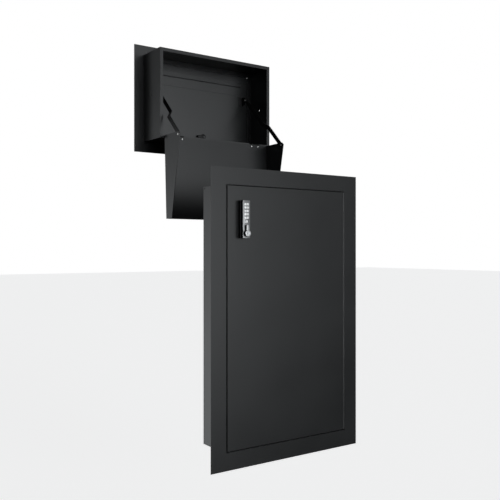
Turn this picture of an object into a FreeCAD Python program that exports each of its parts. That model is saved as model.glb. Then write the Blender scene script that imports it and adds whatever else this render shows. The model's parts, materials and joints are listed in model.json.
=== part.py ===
"""Two-unit through-the-wall parcel safe, in millimetres.

Frame: +Z is up, +X is to the right of someone facing the access door, and the access door faces -Y.
The origin is on the inside wall face, at the middle of the access flange's bottom edge. The access
unit's flange lies on that wall face and the drop unit's flange lies on the outside wall face.
"""
import FreeCAD, Part
import math
import os
import re

import Sketcher

DOCUMENT = FreeCAD.newDocument("ParcelSafe")
SHEET = DOCUMENT.addObject("Spreadsheet::Sheet", "Sizes")
NODES = {}

DIMENSIONS = [
    ("sheet", 2.0, "thickness of the folded steel sheet"),
    ("flange_width", 685.8, "access flange, 27 in"),
    ("flange_height", 1073.0, "access flange, 42 1/4 in"),
    ("access_width", 562.0, "access box, outside, for a 571.5 mm stud gap"),
    ("access_low", 62.5, "outside of the access box floor"),
    ("access_high", 1012.5, "outside of the access box ceiling"),
    ("access_depth", 150.4, "access box, from the wall face to its back edge"),
    ("access_gap", 5.0, "gap on the door's lock side"),
    ("access_gap_ends", 3.0, "gap above and below the door"),
    ("knuckle", 2.5, "outer radius of every hinge's fixed knuckles"),
    ("knuckle_free", 2.3, "outer radius of every hinge's moving knuckles"),
    ("pin_radius", 1.2, "hinge pins"),
    ("pin_bore", 1.25, "bore of every knuckle"),
    ("leaf", 1.5, "hinge leaf thickness"),
    ("leaf_width", 24.0, "piano hinge leaf width"),
    ("rub", 0.3, "gap between a knuckle and the edge beside it"),
    ("knuckle_gap", 0.4, "gap between two knuckles along the pin"),
    ("lock_centre", -210.9, "middle of the keypad lock"),
    ("lock_top", 956.0, "top of the keypad lock"),
    ("lock_height", 135.0, "keypad lock"),
    ("lock_width", 32.0, "keypad lock"),
    ("lock_base_depth", 12.5, "rear shell of the lock"),
    ("lock_seam", 0.8, "groove between the lock's two shells"),
    ("lock_depth", 27.0, "door face to the lock's front"),
    ("face_plate", 1.2, "thickness of the lock's face plate"),
    ("key_size", 8.6, "side of a square key"),
    ("key_pitch_x", 9.6, "key columns"),
    ("key_pitch_z", 11.75, "key rows"),
    ("key_first", 14.5, "lock top to the first key row"),
    ("key_enter", 75.5, "lock top to the enter key"),
    ("key_proud", 1.5, "key top above the face plate"),
    ("knob_drop", 118.0, "lock top to the knob's axis"),
    ("knob_radius", 11.8, "round part of the knob"),
    ("knob_neck", 31.0, "knob axis to the end of its neck"),
    ("knob_neck_width", 11.5, "width of the knob's neck"),
    ("knob_height", 11.0, "knob"),
    ("spindle_radius", 3.0, "lock spindle"),
    ("screw_radius", 1.9, "lock mounting screws"),
    ("screw_bore", 1.95, "their holes in the rear shell"),
    ("cell_radius", 5.2, "lock batteries"),
    ("cell_length", 44.5, "lock batteries"),
    ("cam_length", 50.0, "lock cam, axis to tip"),
    ("cam_width", 16.0, "lock cam"),
    ("cam_sheet", 3.0, "lock cam thickness"),
    ("cam_height", 15.0, "back of the door to the cam"),
    ("door_back_gap", 0.4, "gap between the back of the door and its stop"),
    ("gutter", 14.0, "edge of the access opening to the inside of the stop's leg"),
    ("gutter_deep", 12.0, "back of the door to the far side of the stop's web"),
    ("stop_leg_end", 245.0, "right-hand end of the stop's leg, short of the hinge leaf"),
    ("stop_web_end", 274.0, "right-hand end of the stop's web, short of the hinge"),
    ("stiffener_place", 120.0, "middle plane to each door stiffener"),
    ("stiffener_short", 40.0, "door edge to the end of a stiffener"),
    ("stiffener_half", 24.0, "half a stiffener's width over its feet"),
    ("stiffener_crown", 12.0, "half the width of a stiffener's crown"),
    ("stiffener_deep", 18.0, "depth of a stiffener"),
    ("drop_width", 558.8, "drop box, outside, 22 in"),
    ("drop_low", 1242.5, "outside of the drop box floor"),
    ("drop_high", 1615.0, "outside of the drop box ceiling"),
    ("drop_near", 498.0, "edge of the drop box that faces the access unit"),
    ("drop_far", 648.0, "outside wall face"),
    ("drop_margin", 44.5, "drop flange, box side to flange edge"),
    ("drop_margin_top", 40.5, "drop flange, box top to flange edge"),
    ("lip_width", 14.5, "inward lip of the drop box"),
    ("door_inset", 20.0, "drop box side to the parcel door opening"),
    ("drop_gap", 3.0, "gap round the parcel door"),
    ("rim_over", 8.0, "how far the parcel door's rim covers the frame round the opening"),
    ("rim_in", 12.0, "parcel door's edge to the inside of its rim"),
    ("rim_gap", 0.4, "gap between the rim and the frame"),
    ("rim_front", 1.6, "thickness of the rim past that gap"),
    ("rim_drop", 6.0, "parcel door's hinge axis to the rim's top edge"),
    ("handle_half", 80.0, "half the outside handle's length"),
    ("handle_radius", 6.0, "outside handle"),
    ("handle_post", 5.0, "radius of the handle's posts"),
    ("handle_post_place", 70.0, "middle plane to a post"),
    ("handle_reach", 30.0, "door face to the middle of the handle"),
    ("handle_rise", 78.0, "drop box floor to the handle"),
    ("key_lock_x", 16.0, "key lock, to the right of the middle plane"),
    ("key_lock_rise", 48.0, "drop box floor to the key lock"),
    ("key_lock_hole", 9.6, "radius of the key lock's hole in the door"),
    ("key_lock_barrel", 9.5, "radius of the key lock's barrel"),
    ("key_lock_bezel", 12.0, "radius of the key lock's outside face"),
    ("key_lock_collar", 13.0, "radius of the collar behind the door"),
    ("key_lock_deep", 8.0, "back of the door to the end of the barrel"),
    ("latch_length", 32.0, "key lock's axis to the end of its latch"),
    ("latch_half", 6.0, "half the latch's width"),
    ("latch_hub", 8.0, "radius of the latch's hub"),
    ("latch_sheet", 2.5, "latch thickness"),
    ("latch_screw", 5.0, "radius of the latch's screw head"),
    ("bracket_sheet", 2.5, "door bracket thickness"),
    ("bracket_foot", 20.0, "width of a door bracket's foot"),
    ("bracket_up", 16.0, "bracket pivot to the top of the foot"),
    ("bracket_down", 26.0, "bracket pivot to the bottom of the foot"),
    ("flap_low", 1500.0, "bottom edge of the letter flap"),
    ("flap_high", 1541.5, "axis of the letter flap"),
    ("flap_half", 215.0, "half the letter flap's length"),
    ("slot_edge", 5.0, "how far the flap covers the door past the slot"),
    ("flap_back", 3.0, "door's inner face to the flap's axis"),
    ("flap_roll", 2.4, "outer radius of the flap's roll"),
    ("tray_axis_y", 495.5, "tray hinge axis"),
    ("tray_axis_z", 1254.0, "tray hinge axis"),
    ("tray_half", 260.0, "half the tray's width"),
    ("tray_length", 344.0, "tray panel, from its hinge edge"),
    ("tray_tilt", 2.5, "degrees that the hanging tray leans forward"),
    ("hem_depth", 9.0, "hem on the tray's free end"),
    ("tray_hinge_place", 195.0, "middle plane to each tray hinge"),
    ("tray_leaf_half", 25.0, "half a tray hinge leaf's length"),
    ("tray_leaf_sheet", 1.2, "tray hinge leaf thickness"),
    ("tray_knuckle_half", 8.0, "half the length of a tray hinge's middle knuckle"),
    ("tray_rivet_place", 17.0, "middle of a tray hinge to each of its rivets"),
    ("tray_rivet_radius", 3.6, "head of a tray hinge rivet"),
    ("tray_rivet_rise", 1.6, "height of that head"),
    ("pivot_forward", 114.0, "tray hinge axis to the link arm pivot, forward of the panel"),
    ("pivot_down", 16.5, "tray hinge axis to the link arm pivot, down the panel"),
    ("bracket_y", 623.0, "link arm pivot on the parcel door"),
    ("bracket_z", 1478.2, "link arm pivot on the parcel door"),
    ("arm_sheet", 3.0, "link arm thickness"),
    ("arm_width", 19.0, "link arm width"),
    ("arm_tip", 4.5, "radius of a link arm's upper tip"),
    ("arm_taper", 50.0, "length over which a link arm narrows to its tip"),
    ("arm_low_side", 257.5, "outer face of a link arm at the tray"),
    ("arm_joggle", 23.0, "sideways step in a link arm"),
    ("step_start", 126.0, "lower pivot to the start of the step"),
    ("step_end", 152.0, "lower pivot to the end of the step"),
    ("rivet_radius", 3.0, "link arm rivets"),
    ("rivet_head", 5.0, "radius of a link arm rivet's heads at the tray"),
    ("rivet_out", 3.5, "height of its head outside the cheek"),
    ("rivet_in", 1.5, "height of its head inside the arm"),
    ("screw_hole", 3.0, "radius of the stud screw holes"),
]


def fill_sheet():
    """Write every driving dimension to the sheet, with its alias and its meaning."""
    for row, (alias, value, meaning) in enumerate(DIMENSIONS, start=1):
        SHEET.set(f"A{row}", alias)
        SHEET.set(f"B{row}", str(value))
        SHEET.set(f"C{row}", meaning)
        SHEET.setAlias(f"B{row}", alias)
    DOCUMENT.recompute()


LOCK_SCREW_DROPS = (12, 88)
ACCESS_KNUCKLES, DROP_KNUCKLES = 13, 9
LOCK_X, LOCK_Z = "key_lock_x", "drop_low + key_lock_rise"
EAR = "arm_low_side - arm_sheet - arm_joggle - 0.5"

ALIASES = re.compile(r"\b(" + "|".join(name for name, _, _ in DIMENSIONS) + r")\b")


def linked(text):
    """Turn a formula of plain names into one that reads the sheet."""
    return ALIASES.sub(r"Sizes.\1", str(text))


def bind(item, **formulas):
    """Bind properties of an object to formulas; x, y and z stand for its position."""
    for name, formula in formulas.items():
        path = f"Placement.Base.{name}" if name in "xyz" else name
        item.setExpression(path, linked(formula))
    return item


def keep(item, label):
    """Make an object one of the safe's pieces."""
    item.Label = label
    NODES[label] = item
    return item


def block(x, y, z):
    """A box between two formulas along each axis."""
    item = DOCUMENT.addObject("Part::Box", "Block")
    sides = {"Length": x, "Width": y, "Height": z}
    bind(item, **{side: f"({high}) - ({low})" for side, (low, high) in sides.items()})
    return bind(item, x=x[0], y=y[0], z=z[0])


TURNS = {
    "x": FreeCAD.Rotation(FreeCAD.Vector(0, 1, 0), 90),
    "y": FreeCAD.Rotation(FreeCAD.Vector(1, 0, 0), -90),
    "z": FreeCAD.Rotation(),
}


def rod(axis, start, radius, length):
    """A cylinder that starts at a point of formulas and runs along an axis."""
    item = DOCUMENT.addObject("Part::Cylinder", "Rod")
    item.Placement.Rotation = TURNS[axis]
    bind(item, Radius=radius, Height=length)
    return bind(item, x=start[0], y=start[1], z=start[2])


def joined(items):
    """One solid from several, or the only one."""
    if len(items) == 1:
        return items[0]
    item = DOCUMENT.addObject("Part::MultiFuse", "Joined")
    item.Shapes = items
    item.Refine = True
    return item


def group(items):
    """Separate solids that share one node."""
    item = DOCUMENT.addObject("Part::Compound", "Group")
    item.Links = items
    return item


def cut(base, tools):
    """A solid with others taken out of it."""
    item = DOCUMENT.addObject("Part::Cut", "Cut")
    item.Base = base
    item.Tool = joined(tools)
    item.Refine = True
    return item


def rounded(base, radius, chosen):
    """A solid with the edges that pass a test rounded."""
    DOCUMENT.recompute()
    item = DOCUMENT.addObject("Part::Fillet", "Rounded")
    item.Base = base
    edges = enumerate(base.Shape.Edges, start=1)
    item.Edges = [(number, radius, radius) for number, edge in edges if chosen(edge)]
    return item


def runs_along(axis):
    """A test for straight edges along one axis, for rounding."""
    def test(edge):
        if not isinstance(edge.Curve, Part.Line):
            return False
        return abs(edge.Curve.Direction.dot(axis)) > 0.999
    return test


def plane_of(body, role):
    """An origin plane of a body."""
    return next(item for item in body.Origin.OriginFeatures if item.Role == role)


def tie(sketch, shape, corner, formulas, round_corner):
    """Hold a point of a sketch at two formulas from the sketch's origin."""
    for kind, formula in zip(("DistanceX", "DistanceY"), formulas):
        number = sketch.addConstraint(Sketcher.Constraint(kind, -1, 1, shape, corner, round_corner))
        sketch.setExpression(f"Constraints[{number}]", linked(formula))


def add_outline(sketch, corners):
    """Add a closed outline whose corners are pairs of formulas."""
    first = sketch.GeometryCount
    count = len(corners)
    turn = 2 * math.pi / count
    start = [FreeCAD.Vector(math.cos(turn * n), math.sin(turn * n), 0) for n in range(count)]
    for n in range(count):
        sketch.addGeometry(Part.LineSegment(start[n], start[(n + 1) % count]))
    for n in range(count):
        following = first + (n + 1) % count
        sketch.addConstraint(Sketcher.Constraint("Coincident", first + n, 2, following, 1))
    for n, formulas in enumerate(corners):
        tie(sketch, first + n, 1, formulas, 1.0)


def add_circle(sketch, centre, radius):
    """Add a circle at a pair of formulas."""
    number = sketch.addGeometry(Part.Circle(FreeCAD.Vector(1, 1, 0), FreeCAD.Vector(0, 0, 1), 1))
    tie(sketch, number, 3, centre, 1.0)
    size = sketch.addConstraint(Sketcher.Constraint("Radius", number, 1.0))
    sketch.setExpression(f"Constraints[{size}]", linked(radius))


def plate(role, start, thickness, outlines, circles=()):
    """A padded sketch on an origin plane: the first outline, less the others and the circles."""
    body = DOCUMENT.addObject("PartDesign::Body", "Body")
    sketch = body.newObject("Sketcher::SketchObject", "Profile")
    sketch.AttachmentSupport = [(plane_of(body, role), "")]
    sketch.MapMode = "FlatFace"
    for corners in outlines:
        add_outline(sketch, corners)
    for centre, radius in circles:
        add_circle(sketch, centre, radius)
    pad = body.newObject("PartDesign::Pad", "Pad")
    pad.Profile = sketch
    pad.Reversed = role == "XZ_Plane"
    bind(pad, Length=thickness)
    normal = {"XY_Plane": "z", "XZ_Plane": "y", "YZ_Plane": "x"}[role]
    return bind(body, **{normal: start})


def rectangle(low, high):
    """Corners of a rectangle between two pairs of formulas."""
    return [(low[0], low[1]), (high[0], low[1]), (high[0], high[1]), (low[0], high[1])]


def mirrored_x(item):
    """A copy on the other side of the middle plane."""
    twin = DOCUMENT.addObject("Part::Mirroring", "Twin")
    twin.Source = item
    twin.Normal = FreeCAD.Vector(1, 0, 0)
    return twin


def four_walls(name, width, low, high, near, far, holes, fold=None):
    """The welded side, top and bottom walls of a box; holes are (y, z) pairs in the sides.

    fold is the width of the inward folds that frame an opening at the far end, if there is one.
    """
    half = f"{width} / 2"
    circles = [(hole, "screw_hole") for hole in holes]
    sides = [rectangle((near, low), (far, high))]
    walls = {"left": [plate("YZ_Plane", f"-{half}", "sheet", sides, circles)],
             "right": [plate("YZ_Plane", f"{half} - sheet", "sheet", sides, circles)]}
    across = (f"-{half} + sheet", f"{half} - sheet")
    walls["top"] = [block(across, (near, far), (f"{high} - sheet", high))]
    walls["bottom"] = [block(across, (near, far), (low, f"{low} + sheet"))]
    if fold:
        skin, between = (f"{far} - sheet", far), (f"-{half} + {fold}", f"{half} - {fold}")
        upright = (f"{low} + sheet", f"{high} - sheet")
        walls["left"].append(block((f"-{half}", between[0]), skin, upright))
        walls["right"].append(block((between[1], half), skin, upright))
        walls["top"].append(block(between, skin, (f"{high} - {fold}", high)))
        walls["bottom"].append(block(between, skin, (low, f"{low} + {fold}")))
    for place, items in walls.items():
        keep(joined(items), f"{name}_{place}_wall")


def flange(name, start, outer, inner):
    """A trim flange: a flat frame between two rectangles."""
    keep(plate("XZ_Plane", start, "sheet", [rectangle(*outer), rectangle(*inner)]), name)


def piano_hinge(name, along, low, high, count, place, frame_leaf, door_leaf):
    """A continuous hinge: two leaves with alternate knuckles, and a pin held by the frame's.

    place gives the two formulas of the pin's axis across the hinge. Each leaf is a pair of boxes in
    those two directions: the flat of the leaf, and the tab that joins it to its own knuckles.
    """
    pitch = f"(({high}) - ({low})) / {count}"
    leaves = {"frame": [], "door": []}
    for side, (flat, _) in (("frame", frame_leaf), ("door", door_leaf)):
        leaves[side].append(block(*spread_box(along, flat, (low, high))))
    for number in range(count):
        side = "door" if number % 2 else "frame"
        tab = (door_leaf if side == "door" else frame_leaf)[1]
        ends = (f"{low} + {number} * {pitch} + knuckle_gap / 2",
                f"{low} + {number + 1} * {pitch} - knuckle_gap / 2")
        radius = "knuckle_free" if side == "door" else "knuckle"
        start = spread_point(along, place, ends[0])
        leaves[side].append(rod(along, start, radius, f"({ends[1]}) - ({ends[0]})"))
        leaves[side].append(block(*spread_box(along, tab, ends)))
    for side, items in leaves.items():
        bore = rod(along, spread_point(along, place, low), "pin_bore", f"({high}) - ({low})")
        keep(cut(joined(items), [bore]), f"{name}_{side}_leaf")
    pin = rod(along, spread_point(along, place, low), "pin_radius", f"({high}) - ({low})")
    keep(pin, f"{name}_pin")


def spread_box(along, pair, ends):
    """Three spans for a box from its two cross spans and its span along the hinge."""
    return (ends, *pair) if along == "x" else (*pair, ends)


def spread_point(along, pair, start):
    """A point from its two cross formulas and its place along the hinge."""
    return (start, *pair) if along == "x" else (*pair, start)


def build_access_unit():
    """The flanged frame and box on the inside of the wall, with its door."""
    half = "access_width / 2 - sheet"
    floor, ceiling = "access_low + sheet", "access_high - sheet"
    flange("access_flange", "-sheet",
           (("-flange_width / 2", "0"), ("flange_width / 2", "flange_height")),
           (("-access_width / 2", "access_low"), ("access_width / 2", "access_high")))
    four_walls("access", "access_width", "access_low", "access_high", "-sheet", "access_depth",
               [("access_depth - 8", "access_high - 7"), ("45", "access_low + 45")])
    axis_x, axis_y = f"{half} - rub - knuckle", "knuckle - sheet"
    door_low, door_high = f"{floor} + access_gap_ends", f"{ceiling} - access_gap_ends"
    door_left, door_right = f"-({half}) + access_gap", f"{axis_x} - knuckle - rub - 0.1"
    knob_z = "lock_top - knob_drop"
    holes = [(("lock_centre", knob_z), "spindle_radius + 5.5")]
    holes += [(("lock_centre", f"lock_top - {drop}"), "screw_bore + 0.2") for drop in LOCK_SCREW_DROPS]
    keep(plate("XZ_Plane", "-sheet", "sheet",
               [rectangle((door_left, door_low), (door_right, door_high))], holes),
         "access_door_panel")
    channels = [channel(middle, f"{door_low} + stiffener_short", f"{door_high} - stiffener_short")
                for middle in ("-stiffener_place", "stiffener_place")]
    keep(group(channels), "access_door_stiffeners")
    piano_hinge(
        "access_hinge", "z", door_low, door_high, ACCESS_KNUCKLES, (axis_x, axis_y),
        (((f"{axis_x} + knuckle - 1.2", half), (f"{axis_y} + knuckle + 0.2", "leaf_width")),
         ((f"{axis_x} + knuckle - 1.2", half), (axis_y, f"{axis_y} + knuckle + 0.2"))),
        (((f"{door_right} - leaf_width", door_right), ("0", "1.2")),
         ((door_right, f"{axis_x} - 1.7"), ("0", "1.2"))))
    build_door_stop(half, floor, ceiling)
    keep(block((f"-({half})", "lock_centre - cam_length + 8"), ("gutter_deep", "gutter_deep + 2.5"),
               (f"{knob_z} - 25", f"{knob_z} + 25")), "access_lock_strike")


def build_door_stop(half, floor, ceiling):
    """The L-section that the door closes on, round the left, top and bottom of the opening.

    Its web stands across the gap round the door, like a gutter, and its leg meets the door's back.
    """
    web, leg = ("gutter_deep - sheet", "gutter_deep"), ("door_back_gap", "gutter_deep")
    left_edge = f"-({half})"
    pieces = [block((left_edge, f"{left_edge} + gutter"), web, (floor, ceiling)),
              block((f"{left_edge} + gutter - sheet", f"{left_edge} + gutter"), leg,
                    (f"{floor} + gutter - sheet", f"{ceiling} - gutter + sheet"))]
    inside = f"{left_edge} + gutter - sheet"
    for low, high, leg_low in ((floor, f"{floor} + gutter", f"{floor} + gutter - sheet"),
                               (f"{ceiling} - gutter", ceiling, f"{ceiling} - gutter")):
        pieces.append(block((left_edge, "stop_web_end"), web, (low, high)))
        pieces.append(block((inside, "stop_leg_end"), leg, (leg_low, f"{leg_low} + sheet")))
    keep(joined(pieces), "access_door_stop")


def channel(middle, low, high):
    """A hat-section stiffener on the back of the door."""
    foot, crown = "stiffener_half", "stiffener_crown"
    outer = block((f"{middle} - {foot}", f"{middle} + {foot}"), ("0", "stiffener_deep"), (low, high))
    above_feet = ("leaf", "stiffener_deep + 1")
    notches = [block((f"{middle} - {foot} - 1", f"{middle} - {crown}"), above_feet, (low, high)),
               block((f"{middle} + {crown}", f"{middle} + {foot} + 1"), above_feet, (low, high)),
               block((f"{middle} - {crown} + leaf", f"{middle} + {crown} - leaf"),
                     ("-1", "stiffener_deep - leaf"), (low, high))]
    return cut(outer, notches)


def build_lock():
    """The keypad lock on the access door."""
    left, right = "lock_centre - lock_width / 2", "lock_centre + lock_width / 2"
    low, knob_z = "lock_top - lock_height", "lock_top - knob_drop"
    door_face = "-sheet"
    base_front = f"{door_face} - lock_base_depth"
    front = f"{door_face} - lock_depth"
    plate_back = f"{front} + face_plate"
    barrel = rod("y", ("lock_centre", "-lock_depth - 2", knob_z), "spindle_radius + 0.05", "lock_depth + 4")
    bay = block((f"{left} + 2", f"{right} - 2"), (f"{base_front} - 1", f"{door_face} - 1"),
                (f"{knob_z} + 38", "lock_top - 20"))
    bores = [rod("y", ("lock_centre", "-11", f"lock_top - {drop}"), "screw_bore", "10")
             for drop in LOCK_SCREW_DROPS]
    base = block((left, right), (base_front, door_face), (low, "lock_top"))
    keep(cut(rounded(base, 1.0, runs_along(FreeCAD.Vector(0, 1, 0))), [barrel, bay] + bores), "lock_base")

    shell = block((left, right), (plate_back, f"{base_front} - lock_seam"), (low, "lock_top"))
    neck = block((f"{left} + 1.5", f"{right} - 1.5"), (f"{base_front} - lock_seam", base_front),
                 (f"{low} + 1.5", "lock_top - 1.5"))
    hollow = block((f"{left} + 2", f"{right} - 2"), (f"{plate_back} + 4", f"{base_front} + 1"),
                   (f"{knob_z} + 16", "lock_top - 2"))
    wells = [key_block(place, "0.25", (f"{front} - 1", f"{plate_back} + 5")) for place in key_places()]
    core = rod("y", ("lock_centre", "-lock_depth - 2", knob_z), "spindle_radius + 0.05", "lock_depth + 4")
    keep(cut(joined([rounded(shell, 1.0, runs_along(FreeCAD.Vector(0, 1, 0))), neck]),
             [hollow, core] + wells), "lock_housing")

    wells = [key_block(place, "0.25", (f"{front} - 1", f"{plate_back} + 1")) for place in key_places()]
    core = rod("y", ("lock_centre", "-lock_depth - 6", knob_z), "spindle_radius + 0.05", "lock_depth + 4")
    face = block((left, right), (front, plate_back), (low, "lock_top"))
    keep(cut(rounded(face, 1.0, runs_along(FreeCAD.Vector(0, 1, 0))), [core] + wells),
         "lock_face_plate")

    for name, place in key_nodes():
        cap = key_block(place, "0", (f"{front} - key_proud", f"{plate_back} + 4.5"))
        keep(rounded(cap, 0.8, runs_along(FreeCAD.Vector(0, 1, 0))), name)
    build_lock_inside(front, plate_back, knob_z)
    build_knob(front, knob_z)


def key_places():
    """Column and row of each key; the enter key sits in the middle below the digits."""
    digits = [(side, f"key_first + {row} * key_pitch_z") for row in range(5) for side in (-0.5, 0.5)]
    return digits + [(0, "key_enter")]


def key_nodes():
    """Key names with their places: 1 to 9, then 0, then enter."""
    names = [f"lock_key_{digit}" for digit in (1, 2, 3, 4, 5, 6, 7, 8, 9, 0)] + ["lock_key_enter"]
    return zip(names, key_places())


def key_block(place, margin, depth):
    """A square block for a key, or for its well when it has a margin."""
    side, drop = place
    middle = f"lock_centre + {side} * key_pitch_x"
    reach = f"(key_size / 2 + {margin})"
    return block((f"{middle} - {reach}", f"{middle} + {reach}"), depth,
                 (f"lock_top - ({drop}) - {reach}", f"lock_top - ({drop}) + {reach}"))


def build_lock_inside(front, plate_back, knob_z):
    """Circuit board, batteries, clutch motor and mounting screws."""
    board_y = f"{plate_back} + 6.5"
    keep(block(("lock_centre - 13", "lock_centre + 13"), (board_y, f"{board_y} + 1.2"),
               (f"{knob_z} + 20", "lock_top - 4")), "lock_circuit_board")
    cells = [rod("z", (f"lock_centre + {side}", "-8.6", f"{knob_z} + 46"), "cell_radius", "cell_length")
             for side in (-5.6, 5.6)]
    keep(group(cells), "lock_batteries")
    keep(rod("z", ("lock_centre", f"{board_y} + 4", f"{knob_z} + 18"), "2.6", "16"),
         "lock_clutch_motor")
    screws = []
    for drop in LOCK_SCREW_DROPS:
        head = rod("y", ("lock_centre", "0", f"lock_top - {drop}"), "3.5", "2")
        thread = rod("y", ("lock_centre", "-10", f"lock_top - {drop}"), "screw_radius", "10")
        screws.append(joined([head, thread]))
    keep(group(screws), "lock_mounting_screws")


def build_knob(front, knob_z):
    """The teardrop knob, its spindle, and the cam that locks behind the strike."""
    back, face = f"{front} - 0.3", f"{front} - 0.3 - knob_height"
    disc = rod("y", ("lock_centre", face, knob_z), "knob_radius", "knob_height")
    neck = block(("lock_centre - knob_neck_width / 2", "lock_centre + knob_neck_width / 2"),
                 (face, back), (knob_z, f"{knob_z} + knob_neck"))
    keep(rounded(joined([disc, neck]), 1.0, lambda edge: abs(edge.BoundBox.YMax - edge.BoundBox.YMin) < 0.01
                 and edge.BoundBox.YMax < -39), "lock_knob")
    cam_back = "cam_height + cam_sheet"
    keep(rod("y", ("lock_centre", back, knob_z), "spindle_radius", f"{cam_back} + 4 - ({back})"),
         "lock_spindle")
    hub = rod("y", ("lock_centre", "cam_height", knob_z), "cam_width / 2", "cam_sheet")
    arm = block(("lock_centre - cam_width / 2", "lock_centre + cam_width / 2"),
                ("cam_height", cam_back), (knob_z, f"{knob_z} + cam_length"))
    hole = rod("y", ("lock_centre", "cam_height - 1", knob_z), "spindle_radius", "cam_sheet + 2")
    keep(cut(joined([hub, arm]), [hole]), "lock_cam")
    nut = rod("y", ("lock_centre", cam_back, knob_z), "5.5", "3.5")
    hole = rod("y", ("lock_centre", cam_back, knob_z), "spindle_radius", "5")
    keep(cut(nut, [hole]), "lock_cam_nut")


def build_drop_unit():
    """The flanged hopper on the outside of the wall, with its parcel door."""
    half = "drop_width / 2"
    flange("drop_flange", "drop_far",
           ((f"-({half} + drop_margin)", "drop_low - drop_margin"),
            (f"{half} + drop_margin", "drop_high + drop_margin_top")),
           ((f"-{half}", "drop_low"), (half, "drop_high")))
    middle = ("(drop_near + drop_far) / 2 + 2", "(drop_low + drop_high) / 2")
    four_walls("drop", "drop_width", "drop_low", "drop_high", "drop_near", "(drop_far + sheet)",
               [middle], "door_inset")
    inner = f"({half} - sheet)"
    lip = rectangle((f"-{inner}", "drop_low + sheet"), (inner, "drop_high - sheet"))
    opening = rectangle((f"-({half} - lip_width)", "drop_low + lip_width"),
                        (f"{half} - lip_width", "drop_high - lip_width"))
    keep(plate("XZ_Plane", "drop_near", "sheet", [lip, opening]), "drop_inner_lip")
    build_parcel_door(half)
    build_letter_flap()


def build_parcel_door(half):
    """The top-hinged parcel door with its hinge, handle, key lock and link brackets."""
    outside = "drop_far + sheet"
    axis_y = f"{outside} - knuckle"
    axis_z = "drop_high - door_inset - rub - knuckle"
    side, low = f"({half} - door_inset - drop_gap)", "drop_low + door_inset + drop_gap"
    high = f"{axis_z} - knuckle - rub - 0.1"
    slot = rectangle(("-(flap_half - slot_edge)", "flap_low + slot_edge"),
                     ("flap_half - slot_edge", "flap_high - slot_edge"))
    lock = (LOCK_X, LOCK_Z)
    panel = plate("XZ_Plane", "drop_far", "sheet",
                  [rectangle((f"-{side}", low), (side, high)), slot], [(lock, "key_lock_hole")])
    ears = [flap_ear("flap_half + 0.7"), flap_ear("-flap_half - 2.7")]
    keep(joined([panel] + ears + door_rim(side, low, axis_z)), "drop_door_panel")
    skin = ("drop_far - leaf", "drop_far")
    piano_hinge(
        "drop_hinge", "x", f"-{side}", side, DROP_KNUCKLES, (axis_y, axis_z),
        ((skin, (f"{axis_z} + knuckle + 0.4", "drop_high - sheet - 2")),
         (skin, (f"{axis_z} + 1.7", f"{axis_z} + knuckle + 0.4"))),
        ((skin, (f"{high} - leaf_width", high)), (skin, (high, f"{axis_z} - 1.7"))))

    handle_z = "drop_low + handle_rise"
    posts = [rod("y", (x, outside, handle_z), "handle_post", "handle_reach")
             for x in ("-handle_post_place", "handle_post_place")]
    grip = rod("x", ("-handle_half", f"{outside} + handle_reach", handle_z), "handle_radius",
               "2 * handle_half")
    keep(joined(posts + [grip]), "drop_door_handle")

    barrel = rod("y", (LOCK_X, "drop_far - key_lock_deep", LOCK_Z), "key_lock_barrel",
                 "key_lock_deep + sheet + 0.5")
    face = rod("y", (LOCK_X, outside, LOCK_Z), "key_lock_bezel", "3")
    collar = rod("y", (LOCK_X, "drop_far - 4", LOCK_Z), "key_lock_collar", "4")
    keyway = block((f"{LOCK_X} - 4", f"{LOCK_X} + 4"), (f"{outside} + 2", f"{outside} + 4"),
                   (f"{LOCK_Z} - 0.8", f"{LOCK_Z} + 0.8"))
    keep(cut(joined([barrel, face, collar]), [keyway]), "drop_lock_cylinder")
    latch_back = "drop_far - key_lock_deep - rub"
    latch_front = f"{latch_back} - latch_sheet"
    hub = rod("y", (LOCK_X, latch_front, LOCK_Z), "latch_hub", "latch_sheet")
    arm = block((f"{LOCK_X} - latch_length", LOCK_X), (latch_front, latch_back),
                (f"{LOCK_Z} - latch_half", f"{LOCK_Z} + latch_half"))
    screw = rod("y", (LOCK_X, f"{latch_front} - 3", LOCK_Z), "latch_screw", "3.2")
    keep(joined([hub, arm, screw]), "drop_lock_cam")

    keep(door_bracket(), "right_door_bracket")
    keep(mirrored_x(door_bracket()), "left_door_bracket")
    keep(group([bracket_rivet(), mirrored_x(bracket_rivet())]), "bracket_rivets")


def door_rim(side, low, axis_z):
    """The rim on the parcel door's outside, which covers the gap round the door."""
    outside = "drop_far + sheet"
    cover = "(drop_gap + rim_over)"
    top = f"{axis_z} - rim_drop"
    inner = rectangle((f"-{side} + rim_in", f"{low} + rim_in"), (f"{side} - rim_in", f"{top} - rim_in"))
    spacer = [rectangle((f"-{side}", low), (side, top)), inner]
    cap = [rectangle((f"-{side} - {cover}", f"{low} - {cover}"), (f"{side} + {cover}", top)), inner]
    return [plate("XZ_Plane", outside, "rim_gap", spacer),
            plate("XZ_Plane", f"{outside} + rim_gap", "rim_front", cap)]


def door_bracket():
    """An angle on the back of the parcel door whose ear stands beside the link arm's end."""
    low, high = "bracket_z - bracket_down", "bracket_z + bracket_up"
    ear = plate("YZ_Plane", f"{EAR} - bracket_sheet", "bracket_sheet",
                [[("bracket_y - 8", "bracket_z - 8"), ("bracket_y + 6", "bracket_z - 22"),
                  ("drop_far", low), ("drop_far", high),
                  ("bracket_y + 6", "bracket_z + 14"), ("bracket_y - 8", "bracket_z + 8")]])
    base = block((f"{EAR} - bracket_foot", EAR), ("drop_far - bracket_sheet", "drop_far"), (low, high))
    return joined([ear, base])


def bracket_rivet():
    """The head of the rivet in a bracket's ear."""
    return rod("x", (f"{EAR} - 4.1", "bracket_y", "bracket_z"), "4", "1.6")


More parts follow.
